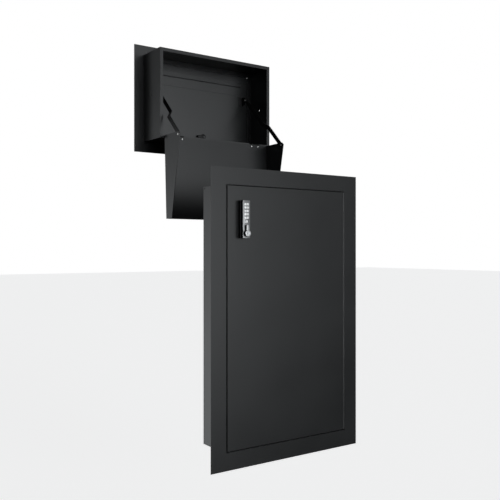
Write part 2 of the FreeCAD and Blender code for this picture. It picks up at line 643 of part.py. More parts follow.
def flap_ear(start):
    """A tab on the back of the parcel door that holds one end of the flap's rod."""
    tab = block((start, f"{start} + 2"), ("drop_far - 6", "drop_far"), ("flap_high - 4", "flap_high + 4"))
    bore = rod("x", (f"{start} - 1", "drop_far - flap_back", "flap_high"), "pin_bore", "4")
    return cut(tab, [bore])


def build_letter_flap():
    """The flap that hangs behind the letter slot, and its rod."""
    leaf = block(("-flap_half", "flap_half"), ("drop_far - 1.8", "drop_far - 0.3"),
                 ("flap_low", "flap_high"))
    start = ("-flap_half", "drop_far - flap_back", "flap_high")
    roll = rod("x", start, "flap_roll", "2 * flap_half")
    bore = rod("x", start, "pin_bore", "2 * flap_half")
    keep(cut(joined([leaf, roll]), [bore]), "letter_flap")
    end = ("-flap_half - 3.2", *start[1:])
    keep(rod("x", end, "pin_radius", "2 * (flap_half + 3.2)"), "letter_flap_pin")


def build_tray():
    """The delivery tray, its hinges and its link arms, drawn hanging straight and then leaned."""
    panel = block(("-tray_half", "tray_half"), ("-2.1", "-0.1"), ("-tray_length - 3", "-3"))
    cheek = [("-2", "-3"), ("-119", "-5.7"), ("-129.4", "-16"), ("-47", "-tray_length - 3"),
             ("-0.1", "-tray_length - 3"), ("-0.1", "-3")]
    pivot = (("-pivot_forward", "-pivot_down"), "rivet_radius")
    cheeks = [plate("YZ_Plane", start, "sheet", [cheek], [pivot])
              for start in ("tray_half - sheet", "-tray_half")]
    hem = block(("-tray_half + sheet", "tray_half - sheet"), ("-2.1 - hem_depth", "-0.1"),
                ("-tray_length - 3", "-tray_length - 1.5"))
    keep(leaned(joined([panel] + cheeks + [hem])), "delivery_tray")

    rivets, leaves, lip_leaves, pins = [], [], [], []
    for middle in ("tray_hinge_place", "-tray_hinge_place"):
        for offset in ("- tray_rivet_place", "+ tray_rivet_place"):
            place = (f"{middle} {offset}", "-2.1 - tray_rivet_rise", "-11")
            rivets.append(rod("y", place, "tray_rivet_radius", "tray_rivet_rise"))
        leaves.append(tray_leaf(middle))
        lip_leaves.append(lip_leaf(middle))
        place = (f"{middle} - tray_leaf_half", "tray_axis_y", "tray_axis_z")
        pins.append(rod("x", place, "pin_radius", "2 * tray_leaf_half"))
    keep(leaned(group(rivets)), "tray_hinge_rivets")
    keep(leaned(group(leaves)), "tray_hinge_tray_leaves")
    keep(group(lip_leaves), "tray_hinge_lip_leaves")
    keep(group(pins), "tray_hinge_pins")
    keep(leaned(group([pivot_rivet(), mirrored_x(pivot_rivet())])), "tray_pivot_rivets")
    keep(link_arm(1), "right_link_arm")
    keep(link_arm(-1), "left_link_arm")


def leaned(item):
    """A copy of a tray piece, turned to the tray's resting lean and put on its hinge axis."""
    DOCUMENT.recompute()
    turned = DOCUMENT.addObject("Part::Compound", "Leaned")
    turned.Links = [item]
    turned.Placement.Rotation = FreeCAD.Rotation(FreeCAD.Vector(-1, 0, 0), float(SHEET.get("tray_tilt")))
    return bind(turned, y="tray_axis_y", z="tray_axis_z")


def tray_leaf(middle):
    """A hinge leaf behind the tray's panel, with the middle knuckle."""
    skin = ("-0.1", "tray_leaf_sheet - 0.1")
    leaf = block((f"{middle} - tray_leaf_half", f"{middle} + tray_leaf_half"), skin, ("-14", "-2.9"))
    tab = block((f"{middle} - tray_knuckle_half", f"{middle} + tray_knuckle_half"), skin, ("-2.9", "-1.7"))
    start = (f"{middle} - tray_knuckle_half", "0", "0")
    knuckle = rod("x", start, "knuckle_free", "2 * tray_knuckle_half")
    bore = rod("x", start, "pin_bore", "2 * tray_knuckle_half")
    return cut(joined([leaf, tab, knuckle]), [bore])


def lip_leaf(middle):
    """A hinge leaf on the drop box's lip, with the two end knuckles."""
    back = ("drop_near - tray_leaf_sheet", "drop_near")
    ends = (f"{middle} - tray_leaf_half", f"{middle} + tray_leaf_half")
    pieces = [block(ends, back, ("tray_axis_z - 9", "tray_axis_z - 3"))]
    inner = "(tray_knuckle_half + knuckle_gap)"
    for span in ((ends[0], f"{middle} - {inner}"), (f"{middle} + {inner}", ends[1])):
        pieces.append(block(span, back, ("tray_axis_z - 3", "tray_axis_z")))
        place = (span[0], "tray_axis_y", "tray_axis_z")
        pieces.append(rod("x", place, "knuckle", f"tray_leaf_half - {inner}"))
    bore = rod("x", (ends[0], "tray_axis_y", "tray_axis_z"), "pin_bore", "2 * tray_leaf_half")
    return cut(joined(pieces), [bore])


def pivot_rivet():
    """The right-hand rivet through a cheek and a link arm, with a head on each side."""
    inner = "arm_low_side - arm_sheet - 0.2"
    place = ("-pivot_forward", "-pivot_down")
    shank = rod("x", (inner, *place), "rivet_radius", f"tray_half - ({inner})")
    heads = [rod("x", (f"{inner} - rivet_in", *place), "rivet_head", "rivet_in"),
             rod("x", ("tray_half", *place), "rivet_head", "rivet_out")]
    return joined([shank] + heads)


def link_arm(side):
    """A flat arm from the tray's cheek up to the parcel door's bracket, stepped inwards midway.

    It is drawn along +Y from its lower pivot, then turned up to meet the bracket's pivot.
    """
    lean = math.radians(float(SHEET.get("tray_tilt")))
    forward, down = float(SHEET.get("pivot_forward")), float(SHEET.get("pivot_down"))
    foot_y = float(SHEET.get("tray_axis_y")) - forward * math.cos(lean) - down * math.sin(lean)
    foot_z = float(SHEET.get("tray_axis_z")) + forward * math.sin(lean) - down * math.cos(lean)
    rise_y, rise_z = float(SHEET.get("bracket_y")) - foot_y, float(SHEET.get("bracket_z")) - foot_z
    length, angle = math.hypot(rise_y, rise_z), math.degrees(math.atan2(rise_z, rise_y))

    low, high = "arm_low_side - arm_sheet", "arm_low_side"
    past_tip = f"{length} + arm_width"
    side_view = [(low, "-arm_width"), (high, "-arm_width"), (high, "step_start"),
                 (f"{high} - arm_joggle", "step_end"), (f"{high} - arm_joggle", past_tip),
                 (f"{low} - arm_joggle", past_tip), (f"{low} - arm_joggle", "step_end - 2"),
                 (low, "step_start - 2")]
    strip = plate("XY_Plane", "-arm_width / 2", "arm_width", [side_view])
    near, far = f"{low} - arm_joggle - 5", "arm_sheet + arm_joggle + 10"
    blade = plate("YZ_Plane", near, far,
                  [[("0", "-arm_width / 2"), (f"{length} - arm_taper", "-arm_width / 2"),
                    (f"{length}", "-arm_tip"), (f"{length}", "arm_tip"),
                    (f"{length} - arm_taper", "arm_width / 2"), ("0", "arm_width / 2")]])
    ends = [rod("x", (near, "0", "0"), "arm_width / 2", far),
            rod("x", (near, f"{length}", "0"), "arm_tip", far)]
    shape = DOCUMENT.addObject("Part::MultiCommon", "Blade")
    shape.Shapes = [strip, joined(ends + [blade])]
    hole = rod("x", (near, "0", "0"), "rivet_radius + 0.05", far)
    arm = cut(shape, [hole])
    if side < 0:
        arm = mirrored_x(arm)
    DOCUMENT.recompute()
    turned = DOCUMENT.addObject("Part::Compound", "Arm")
    turned.Links = [arm]
    turn = FreeCAD.Rotation(FreeCAD.Vector(1, 0, 0), angle)
    turned.Placement = FreeCAD.Placement(FreeCAD.Vector(0, foot_y, foot_z), turn)
    return turned


def check_and_export():
    """Stop on any failed object or bad shape, then write one file for each piece."""
    DOCUMENT.recompute()
    failed = [item.Name for item in DOCUMENT.Objects
              if any(word in item.State for word in ("Invalid", "Error"))]
    if failed:
        raise RuntimeError(f"failed objects: {failed}")
    os.makedirs("parts", exist_ok=True)
    for label, item in NODES.items():
        shape = item.Shape
        if shape.isNull() or not shape.isValid() or not shape.Solids:
            raise RuntimeError(f"bad shape: {label}")
        shape.exportStep(f"parts/{label}.step")
    print(f"{len(NODES)} pieces written")


fill_sheet()
build_access_unit()
build_lock()
build_drop_unit()
build_tray()
check_and_export()
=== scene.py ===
"""Looks of the two-unit through-the-wall parcel safe, in metres, round its CAD frame."""

import json
import math

import bmesh
import bpy
from mathutils import Matrix, Vector


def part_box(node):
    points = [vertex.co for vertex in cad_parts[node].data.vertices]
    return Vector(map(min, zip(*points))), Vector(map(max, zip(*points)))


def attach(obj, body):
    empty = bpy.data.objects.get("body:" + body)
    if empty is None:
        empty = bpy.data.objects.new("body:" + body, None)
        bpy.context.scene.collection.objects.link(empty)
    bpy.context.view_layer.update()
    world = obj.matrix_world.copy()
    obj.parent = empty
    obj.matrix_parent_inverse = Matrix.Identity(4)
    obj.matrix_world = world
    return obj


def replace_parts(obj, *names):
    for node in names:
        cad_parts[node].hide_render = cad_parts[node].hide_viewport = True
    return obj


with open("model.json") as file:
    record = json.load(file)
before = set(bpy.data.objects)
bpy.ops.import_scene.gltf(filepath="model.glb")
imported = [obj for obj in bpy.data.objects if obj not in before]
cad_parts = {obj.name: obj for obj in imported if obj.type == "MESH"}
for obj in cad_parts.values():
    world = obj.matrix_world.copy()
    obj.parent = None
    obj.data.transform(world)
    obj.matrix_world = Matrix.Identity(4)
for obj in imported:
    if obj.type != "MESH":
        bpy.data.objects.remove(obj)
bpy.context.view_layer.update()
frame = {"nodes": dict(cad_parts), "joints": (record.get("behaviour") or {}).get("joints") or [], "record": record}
NODES = frame["nodes"]
RECORD = frame["record"]
BODY_OF = {node: body for body, nodes in RECORD["behaviour"]["bodies"].items() for node in nodes}
SLOT_OF = {part["node"]: part["material_slot"] for part in RECORD["subparts"]}
JOINT_PLACE = {joint["name"]: joint.get("pos_m") for joint in frame["joints"]}

MM = 0.001
CAMERA_PLACE = (-1.609, -2.054, 0.781)
CAMERA_HEADING = 34.9        # degrees from +Y towards +X
CAMERA_SHIFT = -0.0009
CAMERA_LENS = 50
CAMERA_SENSOR = 36
FLOOR_HEIGHT = -0.35
FLOOR_SIZE = 60
FLOOR_GLOW = 0.7

WELD = 0.001 * MM            # points nearer than this count as one
FLAT_ANGLE = math.radians(1)
FOLD_ANGLE = math.radians(50)
SMOOTH_ANGLE = 40            # degrees
TRAY_LEAN = math.radians(2.5)

FACE_EDGE = 0.7 * MM         # black edge round the lock's satin face
PANEL_MARGIN = 2.0 * MM      # satin panel beyond the keys
KEY_CORNER = 1.6 * MM
KEY_EDGE = 0.8 * MM
DIGIT_SIZE = 4.6 * MM
PRINT_LIFT = 0.01 * MM
KNOB_CAP_DEPTH = 3.6 * MM
KNOB_NECK_HALF = 5.75 * MM
KNOB_BORDER = 0.6 * MM       # black edge round the knob's satin neck

LIGHT_COLOUR = (0.97, 1.0, 1.02, 1.0)
AMBIENT = 0.01
SKY_LOBES = [
    # degrees from +Y towards +X, degrees up, strength, sharpness
    (180, 0, 8.8, 40),
    (165, 0, 4.8, 40),
    (150, 0, 0.4, 40),
    (135, 20, 0.55, 40),
    (-30, -10, 0.9, 30),
    (-50, -20, 2.6, 30),
    (-50, 0, 2.1, 30),
    (-80, 0, 0.8, 30),
    (-125, 0, 0.5, 20),
    (60, 50, 0.5, 6),
]


# ---------------------------------------------------------------- node trees

class Graph:
    """Short calls for building one node tree."""

    def __init__(self, tree):
        self.tree = tree
        tree.nodes.clear()

    def add(self, kind, settings=(), **inputs):
        """Add a node, with its settings and its inputs by name."""
        node = self.tree.nodes.new(kind)
        for name, value in dict(settings).items():
            setattr(node, name, value)
        for name, value in inputs.items():
            self.put(node, name.replace("_", " "), value)
        return node

    def put(self, node, name, value):
        """Set an input, by name or by number, to a value or to another node's output."""
        socket = node.inputs[int(name)] if name.isdigit() else node.inputs[name]
        if isinstance(value, bpy.types.NodeSocket):
            self.tree.links.new(value, socket)
        else:
            socket.default_value = value

    def math(self, operation, a, b=0.0):
        """One arithmetic step on numbers or outputs."""
        node = self.add("ShaderNodeMath", {"operation": operation})
        self.put(node, "0", a)
        self.put(node, "1", b)
        return node.outputs[0]

    def vector(self, operation, a, b):
        """One step on vectors; gives the number for a dot product."""
        node = self.add("ShaderNodeVectorMath", {"operation": operation})
        self.put(node, "0", a)
        self.put(node, "1", b)
        return node.outputs["Value" if operation == "DOT_PRODUCT" else "Vector"]

    def place(self, stretch=(1, 1, 1)):
        """The point on the object, in metres, stretched along its axes."""
        return self.vector("MULTIPLY", self.add("ShaderNodeTexCoord").outputs["Object"], stretch)

    def noise(self, scale, detail=2.0, stretch=(1, 1, 1)):
        """Noise from 0 to 1; scale is in patches to the metre."""
        node = self.add("ShaderNodeTexNoise", Vector=self.place(stretch), Scale=scale, Detail=detail)
        return node.outputs["Fac"]

    def span(self, factor, low, high, start=0.0, end=1.0):
        """Bring a number from start..end to low..high."""
        node = self.add("ShaderNodeMapRange", {"clamp": True}, Value=factor)
        for name, value in (("From Min", start), ("From Max", end), ("To Min", low), ("To Max", high)):
            node.inputs[name].default_value = value
        return node.outputs["Result"]

    def blend(self, factor, first, second):
        """Mix two colours."""
        node = self.add("ShaderNodeMix", {"data_type": "RGBA"})
        self.put(node, "0", factor)
        self.put(node, "6", first)
        self.put(node, "7", second)
        return node.outputs[2]

    def bump(self, height, strength, distance):
        """A surface normal from a height."""
        node = self.add("ShaderNodeBump", Height=height, Strength=strength, Distance=distance)
        return node.outputs["Normal"]

    def edges(self, radius):
        """Near 1 within a radius of a sharp edge, and 0 on a flat face."""
        rounded = self.add("ShaderNodeBevel", {"samples": 4}, Radius=radius).outputs["Normal"]
        facing = self.vector("DOT_PRODUCT", rounded, self.add("ShaderNodeNewGeometry").outputs["Normal"])
        return self.span(facing, 1.0, 0.0, 0.80, 0.995)


def colour(red, green, blue):
    """An opaque colour in linear light."""
    return (red, green, blue, 1.0)


def grey(level):
    """A neutral grey in linear light."""
    return colour(level, level, level)


def new_material(name, build):
    """A material whose Principled shader's inputs come from build(graph)."""
    material = bpy.data.materials.new(name)
    material.use_nodes = True
    graph = Graph(material.node_tree)
    shader = graph.add("ShaderNodeBsdfPrincipled")
    for socket, value in build(graph).items():
        graph.put(shader, socket, value)
    output = graph.add("ShaderNodeOutputMaterial")
    graph.put(output, "Surface", shader.outputs[0])
    return material


# ---------------------------------------------------------------- materials

def powder_coat(graph):
    """Fine-textured black powder coat: orange peel, a finer grain, slow mottling and rubbed edges."""
    peel = graph.noise(420, 2.0)
    grain = graph.noise(1900, 2.0)
    height = graph.math("ADD", peel, graph.math("MULTIPLY", grain, 0.35))
    mottle = graph.noise(5, 3.0)
    worn = graph.span(graph.noise(60, 3.0), 0, 1, 0.45, 0.7)
    rubbed = graph.math("MULTIPLY", graph.edges(0.9 * MM), worn)
    coat = graph.blend(mottle, colour(0.0088, 0.0095, 0.0101), colour(0.0114, 0.0122, 0.0129))
    base_rough = graph.span(mottle, 0.28, 0.34, 0.3, 0.7)
    return {
        "Base Color": graph.blend(rubbed, coat, colour(0.028, 0.030, 0.032)),
        "Roughness": graph.math("SUBTRACT", base_rough, graph.math("MULTIPLY", rubbed, 0.08)),
        "Normal": graph.bump(height, 0.25, 0.04 * MM),
    }


def black_hardware(graph):
    """Satin black coat on small steel pieces, worn a little along the edges."""
    grain = graph.noise(1400, 3.0)
    worn = graph.math("MULTIPLY", graph.edges(0.5 * MM), graph.span(graph.noise(160, 3.0), 0, 1, 0.5, 0.7))
    base = graph.blend(graph.noise(30), colour(0.0026, 0.0026, 0.0028), colour(0.0038, 0.0038, 0.0041))
    return {
        "Base Color": graph.blend(worn, base, grey(0.02)),
        "Roughness": graph.span(grain, 0.42, 0.52),
        "Specular IOR Level": 0.22,
        "Normal": graph.bump(grain, 0.2, 0.02 * MM),
    }


def bright_steel(graph):
    """Zinc-plated steel: a cool grey with a faint warm bloom and fine turning marks."""
    bloom = graph.noise(220, 2.0)
    marks = graph.noise(2600, 2.0, (1.0, 0.15, 1.0))
    return {
        "Base Color": graph.blend(bloom, colour(0.74, 0.75, 0.77), colour(0.66, 0.64, 0.60)),
        "Metallic": 1.0,
        "Roughness": graph.span(marks, 0.22, 0.36),
        "Normal": graph.bump(marks, 0.15, 0.01 * MM),
    }


def dull_steel(graph):
    """Grey steel dulled by handling, for the latch screw."""
    marks = graph.noise(1500, 2.0)
    return {
        "Base Color": graph.blend(marks, colour(0.075, 0.075, 0.078), colour(0.055, 0.055, 0.056)),
        "Metallic": 0.5,
        "Roughness": graph.span(marks, 0.5, 0.6),
    }


def black_rubber(graph):
    """Matt black rubber with a fine grain, for the parcel door's seal."""
    grain = graph.noise(1800, 3.0)
    return {
        "Base Color": graph.blend(grain, colour(0.0012, 0.0012, 0.0013), colour(0.0022, 0.0022, 0.0022)),
        "Roughness": graph.span(grain, 0.80, 0.92),
        "Specular IOR Level": 0.08,
        "Normal": graph.bump(grain, 0.3, 0.03 * MM),
    }


def lock_black(graph):
    """Moulded black plastic with a fine spark-eroded grain."""
    grain = graph.noise(3200, 2.0)
    return {
        "Base Color": graph.blend(grain, colour(0.0035, 0.0035, 0.0038), colour(0.0060, 0.0060, 0.0064)),
        "Roughness": graph.span(graph.noise(400), 0.46, 0.56),
        "Specular IOR Level": 0.3,
        "Normal": graph.bump(grain, 0.3, 0.02 * MM),
    }


def brushed(light, dark, rough):
    """Satin nickel, brushed up and down, between two greys."""
    def build(graph):
        marks = graph.noise(3000, 3.0, (1.0, 1.0, 0.03))
        darker, lighter = colour(dark, dark, dark * 1.01), colour(light, light, light * 1.01)
        return {
            "Base Color": graph.blend(marks, darker, lighter),
            "Metallic": 1.0,
            "Roughness": graph.span(marks, rough - 0.04, rough + 0.04),
            "Normal": graph.bump(marks, 0.2, 0.01 * MM),
        }
    return build


def lock_chamfer_highlight(graph):
    """Painted highlight on the lock base's chamfer: grey satin, a little uneven, so the chamfer shows as a light
    line.
    """
    grain = graph.noise(900, 2.0)
    return {
        "Base Color": graph.blend(grain, grey(0.26), grey(0.34)),
        "Metallic": 0.8,
        "Roughness": graph.span(grain, 0.5, 0.6),
    }


def key_silver(graph):
    """Pale silver paint on the moulded keys, with a faint metallic speckle."""
    speckle = graph.noise(4200, 1.0)
    return {
        "Base Color": graph.blend(speckle, colour(0.93, 0.93, 0.93), colour(0.99, 0.98, 0.97)),
        "Metallic": 0.9,
        "Roughness": graph.span(speckle, 0.46, 0.54),
    }


def key_ink(graph):
    """The keys' printed digits, a little greyer than the keys."""
    speckle = graph.noise(2600, 2.0)
    return {
        "Base Color": graph.blend(speckle, colour(0.60, 0.60, 0.61), colour(0.70, 0.70, 0.71)),
        "Roughness": graph.span(speckle, 0.5, 0.6),
    }


def circuit_board(graph):
    """Green solder mask over square runs of copper."""
    runs = graph.add("ShaderNodeTexVoronoi", {"distance": "CHEBYCHEV"}, Vector=graph.place((1, 0, 1)),
                     Scale=420.0).outputs["Distance"]
    track = graph.span(graph.math("FRACT", graph.math("MULTIPLY", runs, 4.0)), 0, 1, 0.42, 0.5)
    return {
        "Base Color": graph.blend(track, colour(0.010, 0.075, 0.028), colour(0.028, 0.140, 0.050)),
        "Roughness": graph.span(graph.noise(500), 0.22, 0.34),
        "Normal": graph.bump(track, 0.3, 0.03 * MM),
    }


def battery_wrap(graph):
    """A dark shrink sleeve with a copper-coloured band at one end and no lettering."""
    low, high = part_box("lock_batteries")
    height = graph.add("ShaderNodeSeparateXYZ", Vector=graph.place()).outputs["Z"]
    join = low.z + (high.z - low.z) * 0.66
    band = graph.span(height, 0, 1, join - 0.1 * MM, join + 0.1 * MM)
    creases = graph.noise(300, 3.0)
    return {
        "Base Color": graph.blend(band, colour(0.015, 0.015, 0.017), colour(0.33, 0.13, 0.05)),
        "Metallic": graph.span(band, 0.0, 0.7),
        "Roughness": graph.span(creases, 0.2, 0.32),
        "Normal": graph.bump(creases, 0.1, 0.05 * MM),
    }


MATERIALS = {name: new_material(name, build) for name, build in {
    "powder_coat": powder_coat,
    "black_hardware": black_hardware,
    "bright_steel": bright_steel,
    "dull_steel": dull_steel,
    "black_rubber": black_rubber,
    "lock_black": lock_black,
    # painted highlight: grey finish for the lock base's chamfer
    "lock_chamfer_highlight": lock_chamfer_highlight,
    "lock_silver": brushed(0.28, 0.22, 0.34),
    "lock_recess": brushed(0.34, 0.27, 0.30),
    "knob_silver": brushed(0.56, 0.47, 0.46),
    "key_silver": key_silver,
    "key_ink": key_ink,
    "circuit_board": circuit_board,
    "battery_wrap": battery_wrap,
}.items()}


# ---------------------------------------------------------------- stage

def make_camera():
    """A level camera that sees both units from the front left."""
    data = bpy.data.cameras.new("camera")
    data.lens = CAMERA_LENS
    data.sensor_width = CAMERA_SENSOR
    data.shift_y = CAMERA_SHIFT
    camera = bpy.data.objects.new("camera", data)
    camera.location = CAMERA_PLACE
    camera.rotation_euler = (math.radians(90), 0, math.radians(-CAMERA_HEADING))
    bpy.context.scene.collection.objects.link(camera)
    bpy.context.scene.camera = camera
    bpy.context.scene.view_settings.view_transform = "Standard"


def make_world():
    """White behind the object, with soft studio light that is stronger from some sides."""
    world = bpy.data.worlds.new("studio")
    bpy.context.scene.world = world
    world.use_nodes = True
    graph = Graph(world.node_tree)
    direction = graph.add("ShaderNodeTexCoord").outputs["Generated"]
    total = AMBIENT
    for heading, height, strength, sharpness in SKY_LOBES:
        turn, rise = math.radians(heading), math.radians(height)
        towards = (math.sin(turn) * math.cos(rise), math.cos(turn) * math.cos(rise), math.sin(rise))
        facing = graph.vector("DOT_PRODUCT", direction, towards)
        soft = graph.math("POWER", graph.math("MAXIMUM", facing, 0.0), sharpness)
        total = graph.math("ADD", graph.math("MULTIPLY", soft, strength), total)
    light = graph.add("ShaderNodeBackground", Color=LIGHT_COLOUR, Strength=total)
    backdrop = graph.add("ShaderNodeBackground", Color=grey(1.0), Strength=1.0)
    mix = graph.add("ShaderNodeMixShader")
    graph.put(mix, "0", graph.add("ShaderNodeLightPath").outputs["Is Camera Ray"])
    graph.put(mix, "1", light.outputs[0])
    graph.put(mix, "2", backdrop.outputs[0])
    output = graph.add("ShaderNodeOutputWorld")
    graph.put(output, "0", mix.outputs[0])


def make_floor():
    """A plain pale floor, which doesn't show in the object's own reflections."""
    bpy.ops.mesh.primitive_plane_add(size=FLOOR_SIZE, location=(0, 0, FLOOR_HEIGHT))
    floor = bpy.context.object
    floor.name = "floor"

    def pale(graph):
        return {"Base Color": grey(0.93), "Roughness": 0.8,
                "Emission Color": grey(1.0), "Emission Strength": FLOOR_GLOW}
    floor.data.materials.append(new_material("floor", pale))
    floor.visible_glossy = False
    floor.visible_diffuse = False


# ---------------------------------------------------------------- mesh helpers

def add_piece(name, mesh, node, materials, smooth=SMOOTH_ANGLE):
    """Make an object from a bmesh that stands for a CAD node, or rides beside one that stays."""
    bmesh.ops.recalc_face_normals(mesh, faces=mesh.faces)
    data = bpy.data.meshes.new(name)
    mesh.to_mesh(data)
    mesh.free()
    data.shade_smooth()
    data.set_sharp_from_angle(angle=math.radians(smooth))
    for material in materials:
        data.materials.append(MATERIALS[material])
    piece = bpy.data.objects.new(name, data)
    bpy.context.scene.collection.objects.link(piece)
    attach(piece, BODY_OF[node])
    return piece


def spread(node):
    """A node's low and high corners, its middle, and its half size across and up."""
    low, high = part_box(node)
    return low, high, (low + high) / 2, ((high.x - low.x) / 2, (high.z - low.z) / 2)


def paint(mesh, start, stop=None, slot=1):
    """Give the faces from start up to stop another of the piece's materials."""
    mesh.faces.ensure_lookup_table()
    for part in mesh.faces[start:stop]:
        part.material_index = slot


def turned(mesh, profile, place, along, steps=40):
    """Add a turned solid; profile is (distance along the axis, radius) from one end to the other."""
    turn = Vector((0, 0, 1)).rotation_difference(Vector(along)).to_matrix().to_4x4()
    spot = Matrix.Translation(place) @ turn
    rings = []
    for height, radius in profile:
        count = steps if radius else 1
        angles = [2 * math.pi * n / count for n in range(count)]
        rings.append([mesh.verts.new(spot @ Vector((radius * math.cos(a), radius * math.sin(a), height)))
                      for a in angles])
    for low, high in zip(rings, rings[1:]):
        for n in range(steps):
            corners = [low[n % len(low)], low[(n + 1) % len(low)],
                       high[(n + 1) % len(high)], high[n % len(high)]]
            mesh.faces.new(list(dict.fromkeys(corners)))


def dome(radius, height, foot, steps=6):
    """The profile of a rivet's domed head, which starts below the surface by foot."""
    rise = [(height * math.sin(math.pi / 2 * n / steps), radius * math.cos(math.pi / 2 * n / steps))
            for n in range(steps)]
    return [(-foot, 0), (-foot, radius * 0.97)] + rise + [(height, 0)]


def slab(mesh, outline, back, front, edge, steps=4):
    """Add a slab that faces -Y with a rounded front edge; outline(inset) gives its (x, z) points."""
    levels = [(0.0, back)]
    for n in range(steps + 1):
        turn = math.pi / 2 * n / steps
        levels.append((edge * (1 - math.cos(turn)), front + edge * (1 - math.sin(turn))))
    rings = [[mesh.verts.new((x, depth, z)) for x, z in outline(inset)] for inset, depth in levels]
    mesh.faces.new(rings[0])
    mesh.faces.new(rings[-1])
    for low, high in zip(rings, rings[1:]):
        count = len(low)
        for n in range(count):
            mesh.faces.new((low[n], low[(n + 1) % count], high[(n + 1) % count], high[n]))


def rounded_rectangle(centre, half, corner, steps=5):
    """An outline for slab: a rectangle with round corners."""
    def outline(inset):
        radius = max(corner - inset, 0.05 * MM)
        reach = (half[0] - inset - radius, half[1] - inset - radius)
        points = []
        for quarter, (sx, sz) in enumerate(((1, 1), (-1, 1), (-1, -1), (1, -1))):
            for n in range(steps + 1):
                turn = math.pi / 2 * (quarter + n / steps)
                points.append((centre[0] + sx * reach[0] + radius * math.cos(turn),
                               centre[1] + sz * reach[1] + radius * math.sin(turn)))
        return points
    return outline


# ---------------------------------------------------------------- folded sheet

def soften(node, width):
    """Stand a copy of a CAD piece in for it, with its sharp edges rounded over."""
    mesh = bmesh.new()
    mesh.from_mesh(NODES[node].data)
    bmesh.ops.remove_doubles(mesh, verts=mesh.verts, dist=WELD)
    bmesh.ops.dissolve_limit(mesh, angle_limit=FLAT_ANGLE, verts=mesh.verts, edges=mesh.edges)
    piece = add_piece(f"{node}_rounded", mesh, node, [SLOT_OF[node]], 180)
    bevel = piece.modifiers.new("rounded_edges", "BEVEL")
    bevel.width = width
    bevel.segments = 2
    bevel.limit_method = "ANGLE"
    bevel.angle_limit = FOLD_ANGLE
    flat_faces = piece.modifiers.new("flat_faces", "WEIGHTED_NORMAL")
    flat_faces.mode = "FACE_AREA"
    flat_faces.weight = 100
    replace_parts(piece, node)


SHEET_EDGES = {
    # node: radius of its edges in millimetres
    "access_flange": 0.25, "access_door_panel": 0.25, "access_left_wall": 0.4, "access_right_wall": 0.4,
    "access_top_wall": 0.4, "access_bottom_wall": 0.4, "access_door_stop": 0.4, "access_lock_strike": 0.4,
    "drop_flange": 0.5, "drop_left_wall": 0.4, "drop_right_wall": 0.4, "drop_top_wall": 0.4,
    "drop_bottom_wall": 0.4, "drop_inner_lip": 0.5, "drop_door_panel": 0.4, "delivery_tray": 0.6,
    "left_link_arm": 0.5, "right_link_arm": 0.5, "left_door_bracket": 0.4, "right_door_bracket": 0.4,
    "lock_cam": 0.4,
}


# ---------------------------------------------------------------- lock

def make_lock_shells():
    """The two black shells; the base's chamfer gets a painted highlight in grey that shows as a thin light line
    between them.
    """
    for node, corner, edge in (("lock_base", 2.4 * MM, 2.4 * MM), ("lock_housing", 1.0 * MM, 0.15 * MM)):
        low, high, middle, half = spread(node)
        mesh = bmesh.new()
        slab(mesh, rounded_rectangle((middle.x, middle.z), half, corner), high.y, low.y, edge)
        if node == "lock_base":
            mesh.normal_update()
            for part in mesh.faces:
                # painted highlight: the base's chamfer and rounded front edge take the grey finish in place of the
                # light they would catch
                part.material_index = int(0.2 < abs(part.normal.y) < 0.99)
        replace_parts(add_piece(f"{node}_shell", mesh, node, ["lock_black", "lock_chamfer_highlight"]), node)


def make_face_plate():
    """A black-edged plate with a satin inlay, and a recessed panel of satin under the keys."""
    low, high, middle, half = spread("lock_face_plate")
    inlay = (half[0] - FACE_EDGE, half[1] - FACE_EDGE)
    plate_front, inlay_back, inlay_front = low.y + 0.4 * MM, low.y + 0.5 * MM, low.y + 0.25 * MM
    mesh = bmesh.new()
    slab(mesh, rounded_rectangle((middle.x, middle.z), half, 1.6 * MM), high.y, plate_front, 0.3 * MM)
    black = len(mesh.faces)
    slab(mesh, rounded_rectangle((middle.x, middle.z), inlay, 1.2 * MM), inlay_back, inlay_front, 0.1 * MM)
    paint(mesh, black)
    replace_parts(add_piece("lock_face", mesh, "lock_face_plate", ["lock_black", "lock_silver"]),
                "lock_face_plate")

    top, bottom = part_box("lock_key_1")[1].z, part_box("lock_key_enter")[0].z
    reach = (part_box("lock_key_2")[1].x - middle.x + PANEL_MARGIN, (top - bottom) / 2 + PANEL_MARGIN)
    mesh = bmesh.new()
    slab(mesh, rounded_rectangle((middle.x, (top + bottom) / 2), reach, 1.2 * MM),
         plate_front, low.y, 0.15 * MM)
    add_piece("lock_key_panel", mesh, "lock_face_plate", ["lock_recess"])


def symbol(text, size, place):
    """A flat digit that faces -Y, as a mesh."""
    curve = bpy.data.curves.new("symbol", "FONT")
    curve.body = text
    curve.size = size
    curve.extrude = 0.04 * MM
    curve.align_x = "CENTER"
    curve.align_y = "CENTER"
    holder = bpy.data.objects.new("symbol", curve)
    bpy.context.scene.collection.objects.link(holder)
    bpy.context.view_layer.update()
    mesh = bpy.data.meshes.new_from_object(holder)
    bpy.data.objects.remove(holder)
    mesh.transform(Matrix.Translation(place) @ Matrix.Rotation(math.radians(90), 4, "X"))
    return mesh


def make_keys():
    """Moulded keys with rounded tops and plain digits; the enter key carries a ring."""
    for node in sorted(name for name in NODES if name.startswith("lock_key_")):
        low, high, middle, half = spread(node)
        mesh = bmesh.new()
        slab(mesh, rounded_rectangle((middle.x, middle.z), half, KEY_CORNER), high.y, low.y, KEY_EDGE)
        moulded = len(mesh.faces)
        face = (middle.x, low.y - PRINT_LIFT, middle.z)
        if node == "lock_key_enter":
            ring = [(0, 1.9 * MM), (0.03 * MM, 1.8 * MM), (0.03 * MM, 1.4 * MM),
                    (0, 1.3 * MM), (0, 1.9 * MM)]
            turned(mesh, ring, face, (0, -1, 0))
        else:
            mesh.from_mesh(symbol(node[-1], DIGIT_SIZE, face))
        paint(mesh, moulded)
        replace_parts(add_piece(f"{node}_cap", mesh, node, ["key_silver", "key_ink"]), node)


